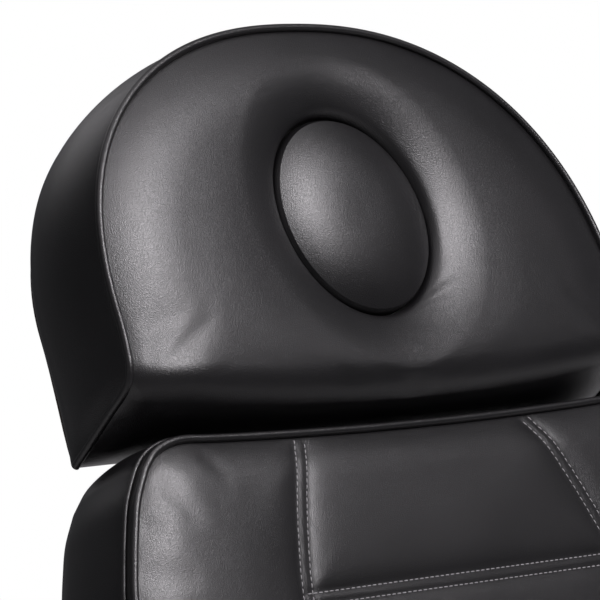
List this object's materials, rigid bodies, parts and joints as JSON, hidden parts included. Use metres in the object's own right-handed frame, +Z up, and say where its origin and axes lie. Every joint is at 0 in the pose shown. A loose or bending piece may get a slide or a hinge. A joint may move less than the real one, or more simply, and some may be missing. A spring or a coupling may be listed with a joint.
{
  "type": "facial treatment bed",
  "caption": "Hydraulic facial treatment bed with a reclining back, sliding D-shaped headrest with a removable face plug, adjustable leg rest, swinging armrests and a foot-pumped pedestal base.",
  "frame": {"origin": "on the floor, on the axis of the lift column", "axes": "+Z up, +Y towards the head, +X across the bed to the side with the foot pedal; the leg rest points to -Y"},
  "size_m": [0.765, 1.3476, 1.4432],
  "materials": {
    "upholstery": "satin",
    "board": "matte",
    "frame_black": "satin",
    "base_metal": "satin",
    "chrome": "polished",
    "shroud": "matte",
    "pump_paint": "satin",
    "steel": "satin",
    "rubber": "matte",
    "knob": "matte",
    "bronze": "satin"
  },
  "bodies": {
    "base": {"base_plate": "frame_black", "base_cover": "base_metal", "base_feet": "rubber", "pump_body": "pump_paint", "pump_bolts": "steel", "pump_shroud": "shroud", "guide_bush": "bronze", "pedal_pin": "steel"},
    "pedal": {"pedal_arm": "chrome", "pedal_pad": "rubber"},
    "plunger": {"pump_plunger": "steel"},
    "lift": {"ram": "chrome", "ram_skirt": "chrome", "thrust_washer": "steel"},
    "seat": {"swivel_plate": "frame_black", "swivel_bolts": "steel", "seat_cross_tubes": "frame_black", "seat_rails": "frame_black", "seat_side_plates": "frame_black", "hinge_pins": "steel", "hub_caps": "shroud", "seat_board": "board", "seat_cushion": "upholstery", "strut_hangers": "frame_black", "strut_pins": "steel", "lever_brackets": "frame_black", "arm_posts": "frame_black"},
    "back": {"back_board": "board", "back_cushion": "upholstery", "back_hinge_arms": "frame_black", "back_cross_tubes": "frame_black", "back_rails": "frame_black", "back_crank": "frame_black", "post_sockets": "frame_black"},
    "headrest_slide": {"headrest_posts": "chrome", "headrest_yoke": "frame_black", "headrest_hinge_pins": "steel"},
    "headrest": {"headrest_brackets": "frame_black", "headrest_board": "board", "headrest_cushion": "upholstery"},
    "face_plug": {"face_plug": "upholstery", "plug_board": "board"},
    "leg": {"leg_board": "board", "leg_cushion": "upholstery", "leg_hinge_arms": "frame_black", "leg_cross_tubes": "frame_black", "leg_rails": "frame_black", "leg_crank": "frame_black"},
    "left_armrest": {"left_arm_bar": "frame_black", "left_arm_pad": "upholstery"},
    "right_armrest": {"right_arm_bar": "frame_black", "right_arm_pad": "upholstery"},
    "back_strut": {"back_strut_cylinder": "frame_black"},
    "back_strut_rod": {"back_strut_rod": "chrome"},
    "leg_strut": {"leg_strut_cylinder": "frame_black"},
    "leg_strut_rod": {"leg_strut_rod": "chrome"},
    "back_lever": {"back_release_lever": "chrome"},
    "leg_lever": {"leg_release_lever": "chrome"},
    "left_knob": {"left_post_knob": "knob"},
    "right_knob": {"right_post_knob": "knob"}
  },
  "joints": [
    {"name": "lift", "type": "slide", "parent": "base", "child": "lift", "axis": [0, 0, 1], "range_m": [0, 0.15]},
    {"name": "seat_swivel", "type": "hinge", "parent": "lift", "child": "seat", "pos_m": [0, 0, 0.49], "axis": [0, 0, 1], "continuous": true},
    {"name": "back_recline", "type": "hinge", "parent": "seat", "child": "back", "pos_m": [0, 0.245, 0.59], "axis": [1, 0, 0], "range_deg": [-64, 11]},
    {"name": "headrest_extend", "type": "slide", "parent": "back", "child": "headrest_slide", "axis": [0, 0.4384, 0.8988], "range_m": [0, 0.1]},
    {"name": "headrest_tilt", "type": "hinge", "parent": "headrest_slide", "child": "headrest", "pos_m": [0, 0.6007, 1.16418], "axis": [1, 0, 0], "range_deg": [-35, 3]},
    {"name": "face_plug_lift", "type": "slide", "parent": "headrest", "child": "face_plug", "axis": [0, -0.8988, 0.4384], "range_m": [0, 0.12]},
    {"name": "leg_tilt", "type": "hinge", "parent": "seat", "child": "leg", "pos_m": [0, -0.245, 0.59], "axis": [1, 0, 0], "range_deg": [-40, 20]},
    {"name": "left_armrest_flip", "type": "hinge", "parent": "seat", "child": "left_armrest", "pos_m": [-0.306, 0.14, 0.715], "axis": [-1, 0, 0], "range_deg": [0, 100]},
    {"name": "right_armrest_flip", "type": "hinge", "parent": "seat", "child": "right_armrest", "pos_m": [0.306, 0.14, 0.715], "axis": [-1, 0, 0], "range_deg": [0, 100]},
    {"name": "back_strut_tilt", "type": "hinge", "parent": "seat", "child": "back_strut", "pos_m": [0.15, -0.15, 0.47], "axis": [1, 0, 0], "range_deg": [-5, 5]},
    {"name": "back_strut_extend", "type": "slide", "parent": "back_strut", "child": "back_strut_rod", "axis": [0, 0.9972, 0.075], "range_m": [-0.125, 0.025]},
    {"name": "leg_strut_tilt", "type": "hinge", "parent": "seat", "child": "leg_strut", "pos_m": [-0.15, 0.02, 0.475], "axis": [1, 0, 0], "range_deg": [-12, 8]},
    {"name": "leg_strut_extend", "type": "slide", "parent": "leg_strut", "child": "leg_strut_rod", "axis": [0, -0.9863, -0.1652], "range_m": [-0.055, 0.105]},
    {"name": "pedal_press", "type": "hinge", "parent": "base", "child": "pedal", "pos_m": [0.09, 0, 0.116], "axis": [0, 1, 0], "range_deg": [0, 12], "stiffness_Nm_per_rad": 10, "springref_deg": -68.75},
    {"name": "plunger_stroke", "type": "slide", "parent": "base", "child": "plunger", "axis": [0, 0, -1], "range_m": [0, 0.0056]},
    {"name": "back_lever_pull", "type": "hinge", "parent": "seat", "child": "back_lever", "pos_m": [0.22, -0.112, 0.49], "axis": [0, -1, 0], "range_deg": [0, 8], "stiffness_Nm_per_rad": 1.5, "springref_deg": -22.92},
    {"name": "leg_lever_pull", "type": "hinge", "parent": "seat", "child": "leg_lever", "pos_m": [-0.22, 0, 0.49], "axis": [0, 1, 0], "range_deg": [0, 8], "stiffness_Nm_per_rad": 1.5, "springref_deg": -22.92},
    {"name": "left_knob_turn", "type": "hinge", "parent": "back", "child": "left_knob", "pos_m": [-0.11, 0.59177, 1.02724], "axis": [0, -0.8988, 0.4384], "continuous": true},
    {"name": "right_knob_turn", "type": "hinge", "parent": "back", "child": "right_knob", "pos_m": [0.11, 0.59177, 1.02724], "axis": [0, -0.8988, 0.4384], "continuous": true}
  ],
  "couplings": [
    {"joint": "back_strut_tilt", "follows": "back_recline", "ratio": 0.0677},
    {"joint": "back_strut_extend", "follows": "back_recline", "m_per_rad": 0.1078},
    {"joint": "leg_strut_tilt", "follows": "leg_tilt", "ratio": 0.2612},
    {"joint": "leg_strut_extend", "follows": "leg_tilt", "m_per_rad": -0.1428},
    {"joint": "plunger_stroke", "follows": "pedal_press", "m_per_rad": 0.026}
  ]
}
